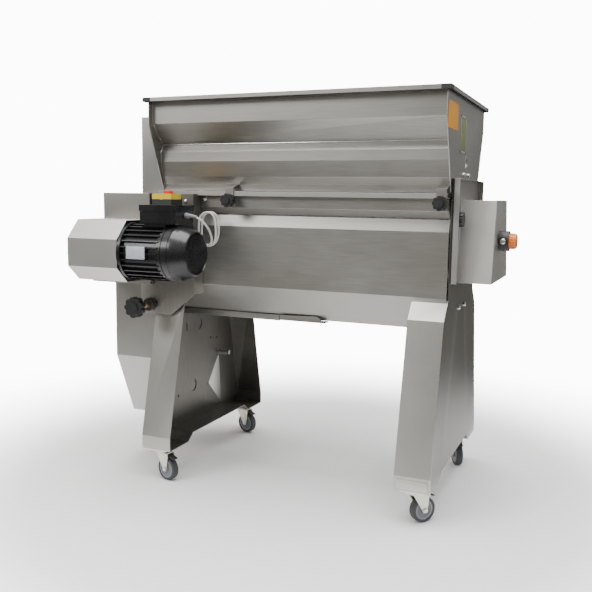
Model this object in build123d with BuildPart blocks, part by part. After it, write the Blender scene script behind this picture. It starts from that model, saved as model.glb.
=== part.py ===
from build123d import *
import math
import os

os.makedirs("parts", exist_ok=True)

# Grape crusher destemmer.  Millimetres, +Z up, floor at Z 0.
# Grapes tip into the hopper, a screw carries them to the left end, they drop into
# a perforated drum where a beater strips the berries, the berries fall between two
# rollers and out of the bottom, and the stems leave through the hood on the right.
#
# Places are given in machine coordinates: X 0 is midway between the end frames and
# Y 0 is the plane of the drum axis.  The helpers below turn them into model places.

# ---------------------------------------------------------------- driving sizes
FRAME_HALF = 505.0        # middle of the machine to the outer face of either end frame
FRAME_SHEET = 3.0         # thickness of the end frames
FLANGE = 112.0            # width of the leg flanges
TRACK_HALF = 355.0        # middle of the machine to the front of the feet
FOOT_Z = 110.0            # underside of the feet
FOOT_TOP = 156.0          # where a leg starts to lean
KNEE_HALF, KNEE_Z = 254.0, 613.0
LEG_TOP_HALF, LEG_TOP_Z = 209.0, 664.0
NECK_HALF = 200.0
NECK_TOP = 978.0

CASING_HALF = 500.0       # half length of the casing and the hopper sheets
CASING_SHEET = 2.0
DRUM_Z = 830.0            # height of the drum and beater axis
DRUM_R = 138.0
DRUM_LEFT, DRUM_RIGHT = -300.0, 482.0
SHAFT_R = 15.0
SLEEVE_R = 28.0
OUTLET_Z = 566.0          # bottom edge of the casing
OUTLET_HALF = 120.0

ROLLER_Y, ROLLER_Z, ROLLER_R = 45.0, 632.0, 41.0
ROLLER_SHAFT_R = 12.0
GEAR_TEETH = 20

FEED_Z = 1098.0           # height of the feed screw axis
FEED_R = 95.0             # feed screw radius
TROUGH_R = 105.0          # inner radius of the trough round it

RIM_Z = 1300.0
RIM_X, RIM_Y = 515.0, 315.0
HOPPER_SHEET = 2.0
HOPPER_END = 503.0        # outer face of the hopper end plates

GUARD_X = -695.0          # outer face of the transmission guard
GUARD_SHEET = 1.5
BACK_PLATE = 3.0
COVER_FRONT = -490.0      # front face of the motor belt cover

MOTOR_Y, MOTOR_Z = -400.0, 795.0
MOTOR_R = 92.0
FAN_COVER_R = 90.0
MOTOR_LEFT, FAN_COVER_LEFT, FAN_COVER_RIGHT = -499.0, -345.0, -255.0

PUMP_Y, PUMP_Z, PUMP_JOURNAL_R, PUMP_END_R = 180.0, 354.0, 10.0, 9.0

CABLE_D = 7.0
WHEEL_R = 40.0            # caster wheels
WHEEL_W = 24.0
CASTER_OFFSET = 30.0      # wheel axle behind the swivel axis
FIT = 0.05                # radial running clearance of a shaft in its bearing
GAP = 1.0                 # clearance between neighbours that do not fit together

HOOD_X = 622.0            # outer face of the stem hood
BUTTON_END = 677.0        # face of the orange button

# The whole object spans from the guard to the button and from the cover to the feet.
MID_X = -(GUARD_X + BUTTON_END) / 2
AXIS_Y = -(COVER_FRONT + TRACK_HALF) / 2


# ---------------------------------------------------------------- helpers
def side(x):
    """Plane across the machine at x, facing right: sketch X is Y, sketch Y is Z."""
    return Plane(origin=(MID_X + x, AXIS_Y, 0), x_dir=(0, 1, 0), z_dir=(1, 0, 0))


def front(y):
    """Plane along the machine at y, facing forward: sketch X is X, sketch Y is Z."""
    return Plane(origin=(MID_X, AXIS_Y + y, 0), x_dir=(1, 0, 0), z_dir=(0, -1, 0))


def level(z):
    """Horizontal plane at z, facing up."""
    return Plane(origin=(MID_X, AXIS_Y, z))


def block(x, y, z, mode=Mode.ADD):
    """A box between a (low, high) pair in each direction."""
    centre = (MID_X + sum(x) / 2, AXIS_Y + sum(y) / 2, sum(z) / 2)
    with Locations(centre):
        Box(x[1] - x[0], y[1] - y[0], z[1] - z[0], mode=mode)


def rod_x(x, y, z, r, mode=Mode.ADD):
    """A cylinder along X between the two ends in x."""
    with Locations(Location((MID_X + sum(x) / 2, AXIS_Y + y, z), (0, 90, 0))):
        Cylinder(r, x[1] - x[0], mode=mode)


def rod_y(x, y, z, r, mode=Mode.ADD):
    """A cylinder along Y between the two ends in y."""
    with Locations(Location((MID_X + x, AXIS_Y + sum(y) / 2, z), (90, 0, 0))):
        Cylinder(r, y[1] - y[0], mode=mode)


def rod_z(x, y, z, r, mode=Mode.ADD):
    """A cylinder along Z between the two ends in z."""
    with Locations((MID_X + x, AXIS_Y + y, sum(z) / 2)):
        Cylinder(r, z[1] - z[0], mode=mode)


def folded(points, thickness):
    """Outline of a sheet folded along the points, its thickness to the left of them."""
    runs = [(b[0] - a[0], b[1] - a[1]) for a, b in zip(points, points[1:])]
    normals = [(-dy / math.hypot(dx, dy), dx / math.hypot(dx, dy)) for dx, dy in runs]
    inner = []
    for i, (x, y) in enumerate(points):
        before = normals[max(i - 1, 0)]
        after = normals[min(i, len(normals) - 1)]
        reach = thickness / (1 + before[0] * after[0] + before[1] * after[1])
        inner.append((x + reach * (before[0] + after[0]), y + reach * (before[1] + after[1])))
    return list(points) + inner[::-1]


def mirrored(points):
    """The same outline on the other side of the drum axis, walked the same way."""
    return [(-y, z) for y, z in points[::-1]]


def pulley(x, y, z, r):
    """A grooved pulley 16 wide whose middle is at x."""
    rod_x((x - 8, x + 8), y, z, r - 8)
    rod_x((x - 8, x - 5), y, z, r)
    rod_x((x + 5, x + 8), y, z, r)


def knob(x, y, z, r, height, lobes=9):
    """A lobed hand knob on a plane facing forward, its back face at y."""
    back = Plane(origin=(MID_X + x, AXIS_Y + y, z), x_dir=(1, 0, 0), z_dir=(0, -1, 0))
    with BuildSketch(back) as lobed:
        Circle(r)
        with PolarLocations(r * 1.08, lobes):
            Circle(r * 0.20, mode=Mode.SUBTRACT)
    extrude(lobed.sketch, amount=height)


# ---------------------------------------------------------------- end frames
leg_path = [
    (-LEG_TOP_HALF, LEG_TOP_Z), (-KNEE_HALF, KNEE_Z), (-TRACK_HALF, FOOT_TOP), (-TRACK_HALF, FOOT_Z),
    (-235, FOOT_Z), (-200, FOOT_Z + 26), (200, FOOT_Z + 26), (235, FOOT_Z),
    (TRACK_HALF, FOOT_Z), (TRACK_HALF, FOOT_TOP), (KNEE_HALF, KNEE_Z), (LEG_TOP_HALF, LEG_TOP_Z),
]
web_outline = leg_path + [(NECK_HALF, LEG_TOP_Z + 8), (NECK_HALF, NECK_TOP), (-NECK_HALF, NECK_TOP),
                          (-NECK_HALF, LEG_TOP_Z + 8)]

for end, outward in (("left", -1), ("right", 1)):
    with BuildPart() as end_frame:
        with BuildSketch(side(outward * FRAME_HALF)):
            Polygon(*web_outline)
        extrude(amount=-outward * FRAME_SHEET)
        with BuildSketch(side(outward * FRAME_HALF)):
            Polygon(*folded(leg_path, FRAME_SHEET))
        extrude(amount=-outward * FLANGE)
        through = (-FRAME_HALF - 1, -FRAME_HALF + FRAME_SHEET + 1)
        if end == "left":
            rod_x(through, 0, DRUM_Z, SLEEVE_R + 6, Mode.SUBTRACT)
            for y in (-ROLLER_Y, ROLLER_Y):
                rod_x(through, y, ROLLER_Z, ROLLER_SHAFT_R + 4, Mode.SUBTRACT)
            rod_x(through, PUMP_Y, PUMP_Z, PUMP_JOURNAL_R + 4, Mode.SUBTRACT)
            for y, z in ((27, 490), (-15, 257)):
                rod_x(through, y, z, 22.5, Mode.SUBTRACT)
            for y, z in ((-125, 239), (95, 240), (115, 423), (164, 415)):
                rod_x(through, y, z, 5, Mode.SUBTRACT)
            block(through, (-66, -58), (474, 504), Mode.SUBTRACT)
        else:
            through = (FRAME_HALF - FRAME_SHEET - 1, FRAME_HALF + 1)
            rod_x(through, 0, DRUM_Z, 122, Mode.SUBTRACT)
            for y in (-ROLLER_Y, ROLLER_Y):
                rod_x(through, y, ROLLER_Z, 5, Mode.SUBTRACT)
    end_frame.part.label = f"{end}_end_frame"
    export_step(end_frame.part, f"parts/{end}_end_frame.step")

# ---------------------------------------------------------------- casing
# The upper casing is a strip and the upper half of the groove, with a square rail on
# top that the hopper stands on.  The lower casing is a deep panel that slants in to
# the outlet.  Front and rear are mirror images.
RAIL_TOP = 995.0
strip_path = [(-222, 980), (-222, 942), (-192, 919), (-178, 919)]
panel_path = [(-178, 916.5), (-192, 916.5), (-207, 879), (-207, 677), (-OUTLET_HALF, OUTLET_Z)]

with BuildPart() as upper_casing:
    for path in (folded(strip_path, CASING_SHEET), mirrored(folded(strip_path, CASING_SHEET))):
        with BuildSketch(side(-CASING_HALF)):
            Polygon(*path)
        extrude(amount=2 * CASING_HALF)
    for low, high in ((-245, -208), (208, 245)):
        block((-CASING_HALF, CASING_HALF), (low, high), (980, RAIL_TOP))
        block((-CASING_HALF, CASING_HALF), (low + 2, high - 2), (982, RAIL_TOP - 2), Mode.SUBTRACT)
    block((-213, -208), (-234, -222), (944, 980))
upper_casing.part.label = "upper_casing"
export_step(upper_casing.part, "parts/upper_casing.step")

# Two angle rails under the left half of the outlet carry the sliding gate.
GATE_Z, GATE_T = 559.0, 3.0
rail_section = [(-133, 576), (-133, GATE_Z - 3), (-106, GATE_Z - 3)]
with BuildPart() as lower_casing:
    for path, length in ((panel_path, 2 * CASING_HALF), (rail_section, 410)):
        for outline in (folded(path, CASING_SHEET), mirrored(folded(path, CASING_SHEET))):
            with BuildSketch(side(-CASING_HALF)):
                Polygon(*outline)
            extrude(amount=length)
lower_casing.part.label = "lower_casing"
export_step(lower_casing.part, "parts/lower_casing.step")

with BuildPart() as slide_gate:
    block((-478, -84), (-116, 116), (GATE_Z, GATE_Z + GATE_T))
    block((-86, 80), (-137, -100), (GATE_Z, GATE_Z + GATE_T))
    with BuildSketch(front(-135)):
        Polygon((-86, GATE_Z), (-86, GATE_Z + 17), (52, GATE_Z + 22), (80, GATE_Z))
    extrude(amount=2)
slide_gate.part.label = "slide_gate"
export_step(slide_gate.part, "parts/slide_gate.step")

# ---------------------------------------------------------------- hopper
sheet_path = [(-278, 1296), (-278, 1217), (-215, 1152), (-228, 1126), (-229, 1094),
              (-218, 1044), (-208, 1018), (-208, 997)]
# Two straps welded to the front sheet reach down over the rail, each held by a knob.
STRAP_X = (-224.0, 482.0)
STRAP_W, KNOB_Z = 32.0, 965.0
with BuildPart() as hopper_sheets:
    for path in (folded(sheet_path, HOPPER_SHEET), mirrored(folded(sheet_path, HOPPER_SHEET))):
        with BuildSketch(side(-CASING_HALF)):
            Polygon(*path)
        extrude(amount=2 * CASING_HALF)
    for x in STRAP_X:
        with BuildSketch(side(x - STRAP_W / 2)):
            Polygon(*folded([(-208.5, 1019), (-249, 1008), (-249, 944)], 3))
        extrude(amount=STRAP_W)
        rod_y(x, (-250, -245), KNOB_Z, 4.5, Mode.SUBTRACT)
hopper_sheets.part.label = "hopper_sheets"
export_step(hopper_sheets.part, "parts/hopper_sheets.step")

with BuildPart() as hopper_end_plates:
    for x in (-HOPPER_END, HOPPER_END - 3):
        with BuildSketch(side(x)):
            Polygon((-300, 1297), (-300, 1212), (-212, 998), (212, 998), (300, 1212), (300, 1297))
        extrude(amount=3)
    rod_x((-HOPPER_END - 1, HOPPER_END + 1), 0, FEED_Z, SHAFT_R + 5, Mode.SUBTRACT)
hopper_end_plates.part.label = "hopper_end_plates"
export_step(hopper_end_plates.part, "parts/hopper_end_plates.step")

# The rim is a channel open downwards, folded round the top edges of the sheets, with
# a moulded cap over each corner.
RIM_DEPTH, RIM_WALL, CAP = 13.0, 1.5, 30.0
RIM_IN_X, RIM_IN_Y = 488.0, 273.0


def rim_section(grow):
    """The channel ring, grown outwards by a small amount for the caps."""
    with BuildSketch(level(RIM_Z - RIM_DEPTH - grow)) as ring:
        Rectangle(2 * (RIM_X + grow), 2 * (RIM_Y + grow))
        Rectangle(2 * RIM_IN_X, 2 * RIM_IN_Y, mode=Mode.SUBTRACT)
    extrude(ring.sketch, amount=RIM_DEPTH + grow)
    with BuildSketch(level(RIM_Z - RIM_DEPTH - grow)) as channel:
        Rectangle(2 * (RIM_X - RIM_WALL), 2 * (RIM_Y - RIM_WALL))
        Rectangle(2 * (RIM_IN_X + RIM_WALL), 2 * (RIM_IN_Y + RIM_WALL), mode=Mode.SUBTRACT)
    extrude(channel.sketch, amount=RIM_DEPTH + grow - RIM_WALL, mode=Mode.SUBTRACT)


corner_x, corner_y = RIM_X - CAP / 2 + 1, RIM_Y - CAP / 2 + 1
with BuildPart() as hopper_rim:
    rim_section(0)
    with BuildSketch(level(RIM_Z - 50)):
        with GridLocations(2 * corner_x, 2 * corner_y, 2, 2):
            Rectangle(CAP, CAP)
    extrude(amount=100, mode=Mode.SUBTRACT)
hopper_rim.part.label = "hopper_rim"
export_step(hopper_rim.part, "parts/hopper_rim.step")

with BuildPart() as rim_corner_caps:
    rim_section(0.8)
    with BuildSketch(level(RIM_Z - 50)):
        with GridLocations(2 * corner_x, 2 * corner_y, 2, 2):
            Rectangle(CAP, CAP)
    extrude(amount=100, mode=Mode.INTERSECT)
rim_corner_caps.part.label = "rim_corner_caps"
export_step(rim_corner_caps.part, "parts/rim_corner_caps.step")

trough_outer = TROUGH_R + HOPPER_SHEET
arc_steps = 8
trough_path = [(-205, 1154), (-trough_outer, FEED_Z + 8)]
trough_path += [
    (-trough_outer * math.cos(turn), FEED_Z - trough_outer * math.sin(turn))
    for turn in (math.pi * i / arc_steps for i in range(1, arc_steps))
]
trough_path += [(trough_outer, FEED_Z + 8), (205, 1154)]
with BuildPart() as feed_trough:
    with BuildSketch(side(-CASING_HALF + GAP)):
        Polygon(*folded(trough_path, HOPPER_SHEET))
    extrude(amount=2 * (CASING_HALF - GAP))
    block((-480, -340), (-72, 72), (960, 1050), Mode.SUBTRACT)
feed_trough.part.label = "feed_trough"
export_step(feed_trough.part, "parts/feed_trough.step")

for name, x in zip(("left", "right"), STRAP_X):
    with BuildPart() as clamp_knob:
        knob(x, -253, KNOB_Z, 22.5, 16)
        rod_y(x, (-253, -249.5), KNOB_Z, 11)
        rod_y(x, (-249.5, -224), KNOB_Z, 4)
        rod_y(x, (-274, -269), KNOB_Z, 12)
    clamp_knob.part.label = f"clamp_knob_{name}"
    export_step(clamp_knob.part, f"parts/clamp_knob_{name}.step")

# ---------------------------------------------------------------- right end: stems out
# The end cover is a shallow tray, flanged outwards, sealed against the right frame.
TRAY_X, TRAY_LOW, TRAY_TOP, TRAY_HALF, TRAY_DEPTH = 511.0, 724.0, 1040.0, 205.0, 17.0
STEM_HOLE_R = 118.0
SEAL_GAP = 0.3
tray_outline = [(-TRAY_HALF, TRAY_LOW), (TRAY_HALF, TRAY_LOW), (TRAY_HALF, TRAY_TOP), (-TRAY_HALF, TRAY_TOP)]
with BuildPart() as end_cover:
    with BuildSketch(side(TRAY_X)):
        Polygon(*tray_outline)
    extrude(amount=1.5)
    with BuildSketch(side(TRAY_X)):
        path = [(TRAY_HALF, TRAY_LOW), (TRAY_HALF, TRAY_TOP), (-TRAY_HALF, TRAY_TOP), (-TRAY_HALF, TRAY_LOW)]
        Polygon(*folded(path, 1.5))
    extrude(amount=TRAY_DEPTH)
    rod_x((TRAY_X - 1, TRAY_X + 3), 0, DRUM_Z, STEM_HOLE_R, Mode.SUBTRACT)
end_cover.part.label = "end_cover"
export_step(end_cover.part, "parts/end_cover.step")

with BuildPart() as end_seal:
    with BuildSketch(side(FRAME_HALF + SEAL_GAP)):
        Polygon(*folded([(TRAY_HALF, TRAY_LOW), (TRAY_HALF, TRAY_TOP), (-TRAY_HALF, TRAY_TOP),
                         (-TRAY_HALF, TRAY_LOW)], 14))
    extrude(amount=TRAY_X - FRAME_HALF - SEAL_GAP)
end_seal.part.label = "end_seal"
export_step(end_seal.part, "parts/end_seal.step")

HOOD_LOW, HOOD_TOP = 722.0, 976.0
hood_path = [(175, HOOD_LOW), (104, HOOD_TOP), (-98, HOOD_TOP), (-145, HOOD_LOW)]
with BuildPart() as stem_hood:
    with BuildSketch(side(TRAY_X + 1.5)):
        Polygon(*folded(hood_path, 1.5))
    extrude(amount=HOOD_X - TRAY_X - 1.5)
    with BuildSketch(side(HOOD_X - 1.5)):
        Polygon(*hood_path)
    extrude(amount=1.5)
stem_hood.part.label = "stem_hood"
export_step(stem_hood.part, "parts/stem_hood.step")

COVER_KNOB_Y, COVER_KNOB_Z = -176.0, 918.0
with BuildPart() as end_cover_knob:
    with BuildSketch(side(TRAY_X + 11)):
        with Locations((COVER_KNOB_Y, COVER_KNOB_Z)):
            Circle(22.5)
            with PolarLocations(24.3, 9):
                Circle(4.5, mode=Mode.SUBTRACT)
    extrude(amount=15)
    rod_x((TRAY_X + 1.8, TRAY_X + 11), COVER_KNOB_Y, COVER_KNOB_Z, 11)
end_cover_knob.part.label = "end_cover_knob"
export_step(end_cover_knob.part, "parts/end_cover_knob.step")

BUTTON_Y, BUTTON_Z, BUTTON_R = -25.0, 850.0, 24.0
HOUSING_END = 654.0
with BuildPart() as button_housing:
    rod_x((HOOD_X, HOUSING_END), BUTTON_Y, BUTTON_Z, 32)
    rod_x((HOUSING_END - 12, HOUSING_END + 1), BUTTON_Y, BUTTON_Z, BUTTON_R + 0.6, Mode.SUBTRACT)
    with Locations((MID_X + HOUSING_END - 16, AXIS_Y + BUTTON_Y - 30, BUTTON_Z)):
        Box(14, 8, 18)
button_housing.part.label = "button_housing"
export_step(button_housing.part, "parts/button_housing.step")

BUTTON_TRAVEL = 5.0
with BuildPart() as orange_button:
    rod_x((HOUSING_END - 12 + BUTTON_TRAVEL + 0.5, BUTTON_END), BUTTON_Y, BUTTON_Z, BUTTON_R)
    fillet(orange_button.edges().filter_by(GeomType.CIRCLE).sort_by(Axis.X)[-1], 5)
orange_button.part.label = "orange_button"
export_step(orange_button.part, "parts/orange_button.step")

# ---------------------------------------------------------------- working parts
# Slots for pulleys, counted outwards from the left frame.
SLOT_DRUM, SLOT_MOTOR, SLOT_FEED, SLOT_ROLLER, SLOT_PUMP = -564.0, -588.0, -612.0, -634.0, -656.0
SHAFT_LEFT = -682.0
DRUM_PULLEY_R, FEED_SMALL_R = 92.0, 23.0
BACK_OUT = -FRAME_HALF - BACK_PLATE    # outer face of the guard's back plate
BEARING_LEFT = BACK_OUT - 22

with BuildPart() as destemming_drum:
    rod_x((DRUM_LEFT, DRUM_RIGHT), 0, DRUM_Z, DRUM_R)
    rod_x((DRUM_LEFT - 1, DRUM_RIGHT + 1), 0, DRUM_Z, DRUM_R - 2, Mode.SUBTRACT)
    for i in range(13):
        x = DRUM_LEFT + 45 + 57 * i
        for turn in range(4):
            holes = Location((MID_X + x + 28 * (turn % 2), AXIS_Y, DRUM_Z), (45 * turn, 0, 0))
            with Locations(holes):
                Cylinder(16, 2 * DRUM_R + 20, mode=Mode.SUBTRACT)
    for turn in range(3):
        with Locations(Location((MID_X + DRUM_LEFT + 4, AXIS_Y, DRUM_Z), (120 * turn, 0, 0))):
            with Locations((0, 0, (SLEEVE_R + DRUM_R) / 2 - 2)):
                Box(8, 24, DRUM_R - SLEEVE_R + 2)
    rod_x((SLOT_DRUM - 8, DRUM_LEFT + 8), 0, DRUM_Z, SLEEVE_R)
    pulley(SLOT_DRUM, 0, DRUM_Z, DRUM_PULLEY_R)
    for i in range(6):
        with Locations(Location((MID_X - 470 + 26 * i, AXIS_Y, DRUM_Z), (60 * i, 0, 0))):
            with Locations(Location((0, 0, 74), (0, 0, 35))):
                Box(4, 46, 96)
    rod_x((SLOT_DRUM - 9, DRUM_LEFT + 9), 0, DRUM_Z, SHAFT_R + 4, Mode.SUBTRACT)
destemming_drum.part.label = "destemming_drum"
export_step(destemming_drum.part, "parts/destemming_drum.step")

BEATER_RIGHT = 498.0
BEATER_LARGE_R, MOTOR_PULLEY_R = 122.0, 61.0
BEATER_FEED_R, FEED_LARGE_R = 26.0, 52.0
BEATER_ROLLER_R, ROLLER_PULLEY_R = 28.0, 56.0
BEATER_PUMP_R, PUMP_PULLEY_R = 38.0, 76.0
with BuildPart() as beater_shaft:
    rod_x((SHAFT_LEFT, BEATER_RIGHT), 0, DRUM_Z, SHAFT_R)
    for x, r in ((SLOT_MOTOR, BEATER_LARGE_R), (SLOT_FEED, BEATER_FEED_R),
                 (SLOT_ROLLER, BEATER_ROLLER_R), (SLOT_PUMP, BEATER_PUMP_R)):
        pulley(x, 0, DRUM_Z, r)

# Each arm is a rod with a paddle, standing on the shaft as a solid of its own.
ARMS, ARM_STEP, ARM_TURN, ARM_R = 20, 38.0, 37.0, 6.0
PADDLE_R = DRUM_R - 34.0
with BuildPart() as beater_arms:
    for i in range(ARMS):
        x = DRUM_LEFT + 28 + ARM_STEP * i
        with Locations(Location((MID_X + x, AXIS_Y, DRUM_Z), (ARM_TURN * i, 0, 0))):
            with Locations((0, 0, PADDLE_R / 2)):
                Cylinder(ARM_R, PADDLE_R)
            with Locations((0, 0, PADDLE_R)):
                Box(16, 24, 10)
    rod_x((SHAFT_LEFT, BEATER_RIGHT), 0, DRUM_Z, SHAFT_R, Mode.SUBTRACT)
beater = Compound(beater_shaft.part.solids() + beater_arms.part.solids())
beater.label = "beater"
export_step(beater, "parts/beater.step")

# The screw is a shaft with a helical flight, drawn as one sector plate after another.
FLIGHT_PITCH, FLIGHT_PLATES = 160.0, 12
with BuildPart() as feed_screw:
    rod_x((SLOT_FEED - 10, HOPPER_END - 4), 0, FEED_Z, SHAFT_R)
    turns = int(880 / FLIGHT_PITCH * FLIGHT_PLATES)
    for i in range(turns):
        x = -470 + i * FLIGHT_PITCH / FLIGHT_PLATES
        turn = 360.0 * i / FLIGHT_PLATES
        lead = math.degrees(math.atan(FLIGHT_PITCH / (2 * math.pi * 60)))
        with Locations(Location((MID_X + x, AXIS_Y, FEED_Z), (turn, 0, 0))):
            with Locations(Location((0, 0, (FEED_R + SHAFT_R) / 2 - 2), (0, 0, lead))):
                Box(3, 50, FEED_R - SHAFT_R)
    pulley(SLOT_DRUM, 0, FEED_Z, FEED_SMALL_R)
    pulley(SLOT_FEED, 0, FEED_Z, FEED_LARGE_R)
feed_screw.part.label = "feed_screw"
export_step(feed_screw.part, "parts/feed_screw.step")

# Two fluted rollers turn towards each other; a pair of spur gears ties them together.
GEAR_X = -546.0
MODULE = 2 * ROLLER_Y / GEAR_TEETH
ROLLER_BODY = 470.0


def gear_outline(y, half_step):
    """Straight-sided teeth round a gear whose first tooth is turned by half a step."""
    points = []
    pitch_r = MODULE * GEAR_TEETH / 2
    for tooth in range(GEAR_TEETH):
        centre = 2 * math.pi * (tooth + (0.5 if half_step else 0.0)) / GEAR_TEETH
        for r, share in ((pitch_r - 1.2 * MODULE, -0.36), (pitch_r + 0.9 * MODULE, -0.13),
                         (pitch_r + 0.9 * MODULE, 0.13), (pitch_r - 1.2 * MODULE, 0.36)):
            angle = centre + share * 2 * math.pi / GEAR_TEETH
            points.append((y + r * math.cos(angle), ROLLER_Z + r * math.sin(angle)))
    return points


for name, y in (("front", -ROLLER_Y), ("rear", ROLLER_Y)):
    with BuildPart() as crushing_roller:
        rod_x((-ROLLER_BODY, ROLLER_BODY), y, ROLLER_Z, ROLLER_R)
        for i in range(16):
            with Locations(Location((MID_X, AXIS_Y + y, ROLLER_Z), (22.5 * i, 0, 0))):
                with Locations((0, 0, ROLLER_R)):
                    Box(2 * ROLLER_BODY + 2, 5, 5, mode=Mode.SUBTRACT)
        rod_x((SLOT_ROLLER - 12 if name == "front" else GEAR_X - 9, 499), y, ROLLER_Z, ROLLER_SHAFT_R)
        with BuildSketch(side(GEAR_X - 7)):
            Polygon(*gear_outline(y, name == "rear"))
        extrude(amount=14)
        if name == "front":
            pulley(SLOT_ROLLER, y, ROLLER_Z, ROLLER_PULLEY_R)
    crushing_roller.part.label = f"{name}_crushing_roller"
    export_step(crushing_roller.part, f"parts/{name}_crushing_roller.step")

# The shaft steps down to its free end, which a pump coupling slides onto, inside the frame.
PUMP_END, PUMP_SHOULDER = -452.0, -FRAME_HALF + FRAME_SHEET
with BuildPart() as pump_drive_shaft:
    rod_x((SLOT_PUMP - 12, PUMP_SHOULDER), PUMP_Y, PUMP_Z, PUMP_JOURNAL_R)
    rod_x((PUMP_SHOULDER, PUMP_END), PUMP_Y, PUMP_Z, PUMP_END_R)
    pulley(SLOT_PUMP, PUMP_Y, PUMP_Z, PUMP_PULLEY_R)
pump_drive_shaft.part.label = "pump_drive_shaft"
export_step(pump_drive_shaft.part, "parts/pump_drive_shaft.step")

# Each bearing is a flanged ring seated on a plate.
with BuildPart() as bearing_units:
    for y, z, r, outer in ((0, DRUM_Z, SLEEVE_R, 46), (-ROLLER_Y, ROLLER_Z, ROLLER_SHAFT_R, 24),
                           (ROLLER_Y, ROLLER_Z, ROLLER_SHAFT_R, 24), (0, FEED_Z, SHAFT_R, 34),
                           (PUMP_Y, PUMP_Z, PUMP_JOURNAL_R, 24)):
        rod_x((BEARING_LEFT, BACK_OUT), y, z, outer)
        rod_x((BEARING_LEFT - 1, BACK_OUT + 1), y, z, r + FIT, Mode.SUBTRACT)
    for y in (-ROLLER_Y, ROLLER_Y):
        rod_x((484, FRAME_HALF - FRAME_SHEET), y, ROLLER_Z, 24)
        rod_x((483, 499.5), y, ROLLER_Z, ROLLER_SHAFT_R + FIT, Mode.SUBTRACT)
    rod_x((484, HOPPER_END - 3), 0, FEED_Z, 34)
    rod_x((483, HOPPER_END + 1), 0, FEED_Z, SHAFT_R + FIT, Mode.SUBTRACT)
    # The beater turns in a bearing on the guard wall and another on a bar across the stem hole.
    rod_x((-690, GUARD_X + GUARD_SHEET + 20), 0, DRUM_Z, 34)
    rod_x((GUARD_X + GUARD_SHEET, -690), 0, DRUM_Z, 34)
    rod_x((SHAFT_LEFT - 0.5, -670), 0, DRUM_Z, SHAFT_R + FIT, Mode.SUBTRACT)
    block((492, FRAME_HALF - FRAME_SHEET), (-16, 16), (700, 962))
    rod_x((486, FRAME_HALF - FRAME_SHEET), 0, DRUM_Z, 32)
    rod_x((485, BEATER_RIGHT + 0.5), 0, DRUM_Z, SHAFT_R + FIT, Mode.SUBTRACT)
bearing_units.part.label = "bearing_units"
export_step(bearing_units.part, "parts/bearing_units.step")

# Belts lie in the pulley grooves, clear of the groove floors and walls.
belt_runs = (
    (SLOT_MOTOR, (MOTOR_Y, MOTOR_Z, MOTOR_PULLEY_R), (0, DRUM_Z, BEATER_LARGE_R)),
    (SLOT_FEED, (0, DRUM_Z, BEATER_FEED_R), (0, FEED_Z, FEED_LARGE_R)),
    (SLOT_DRUM, (0, DRUM_Z, DRUM_PULLEY_R), (0, FEED_Z, FEED_SMALL_R)),
    (SLOT_ROLLER, (0, DRUM_Z, BEATER_ROLLER_R), (-ROLLER_Y, ROLLER_Z, ROLLER_PULLEY_R)),
    (SLOT_PUMP, (0, DRUM_Z, BEATER_PUMP_R), (PUMP_Y, PUMP_Z, PUMP_PULLEY_R)),
)
BELT_W, BELT_CLEAR, BELT_T = 8.0, 0.6, 6.0
with BuildPart() as drive_belts:
    for x, first, second in belt_runs:
        for extra, mode in ((BELT_T, Mode.ADD), (0.0, Mode.SUBTRACT)):
            with BuildSketch(side(x - BELT_W / 2)):
                for y, z, r in (first, second):
                    with Locations((y, z)):
                        Circle(r - 8 + BELT_CLEAR + extra)
                make_hull()
            extrude(amount=BELT_W, mode=mode)
drive_belts.part.label = "drive_belts"
export_step(drive_belts.part, "parts/drive_belts.step")

# ---------------------------------------------------------------- guard on the left
guard_outline = [
    (-60, 1267), (-60, 986), (-295, 986), (-295, 675), (-235, 675), (-235, 400), (-135, 170),
    (200, 170), (285, 300), (285, 450), (235, 560), (235, 960), (180, 1010), (180, 1267),
]
with BuildPart() as guard_back_plate:
    with BuildSketch(side(BACK_OUT)):
        Polygon(*guard_outline)
    extrude(amount=BACK_PLATE)
    through = (BACK_OUT - 1, -FRAME_HALF + 1)
    for y, z, r in ((0, DRUM_Z, SLEEVE_R), (0, FEED_Z, SHAFT_R), (-ROLLER_Y, ROLLER_Z, ROLLER_SHAFT_R),
                    (ROLLER_Y, ROLLER_Z, ROLLER_SHAFT_R), (PUMP_Y, PUMP_Z, PUMP_JOURNAL_R)):
        rod_x(through, y, z, r + 4, Mode.SUBTRACT)
guard_back_plate.part.label = "guard_back_plate"
export_step(guard_back_plate.part, "parts/guard_back_plate.step")

COVER_LOW, COVER_HIGH, COVER_RIGHT = 696.0, 897.0, -500.0
with BuildPart() as transmission_guard:
    with BuildSketch(side(GUARD_X)):
        Polygon(*guard_outline)
    extrude(amount=BACK_OUT - GUARD_X)
    with BuildSketch(side(GUARD_X + GUARD_SHEET)):
        Polygon(*guard_outline)
        offset(amount=-GUARD_SHEET, mode=Mode.REPLACE)
    extrude(amount=BACK_OUT - GUARD_X, mode=Mode.SUBTRACT)
    block((-680, -520), (-300, -290), (COVER_LOW + 12, COVER_HIGH - 12), Mode.SUBTRACT)
transmission_guard.part.label = "transmission_guard"
export_step(transmission_guard.part, "parts/transmission_guard.step")

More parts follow.
